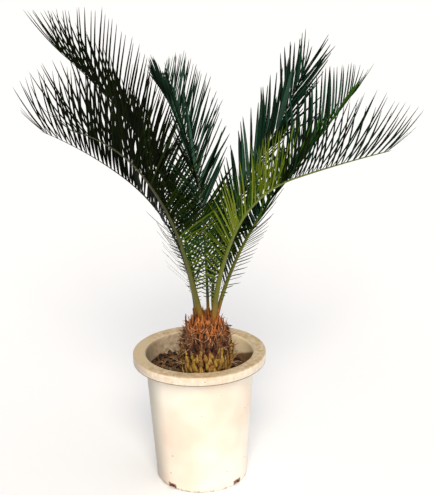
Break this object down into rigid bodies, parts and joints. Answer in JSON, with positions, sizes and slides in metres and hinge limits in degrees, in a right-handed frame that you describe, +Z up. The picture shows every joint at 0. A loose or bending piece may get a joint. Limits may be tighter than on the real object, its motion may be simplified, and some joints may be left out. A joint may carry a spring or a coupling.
{
  "type": "potted sago palm",
  "caption": "Young sago palm in a round tapered plastic pot with a wide flat rim: soil, a short scaly trunk and arching feather fronds. Stands on the pot's flat underside.",
  "frame": {"origin": "centre of the pot's flat underside, on the ground", "axes": "+Z up along the pot's axis, -Y towards the front, +X to the right seen from the front"},
  "size_m": [0.7993, 0.7801, 1.0608],
  "materials": {
    "pot_plastic": "ivory moulded plastic, sun-bleached, with dust and soil stains on the rim",
    "potting_soil": "dark crumbly potting mix with bits of husk and dry leaf",
    "caudex_fibre": "rough old leaf bases, olive and brown, with rusty wool and dry bracts at the crown",
    "frond_leaf": "stiff glossy dark green leaflets on a yellow-green rib"
  },
  "bodies": {
    "root": {"pot": "pot_plastic", "soil": "potting_soil", "caudex": "caudex_fibre", "frond_left_high": "frond_leaf", "frond_left_front": "frond_leaf", "frond_left_low": "frond_leaf", "frond_back_left": "frond_leaf", "frond_back_right": "frond_leaf", "frond_right_high": "frond_leaf", "frond_right_low": "frond_leaf"}
  },
  "joints": []
}
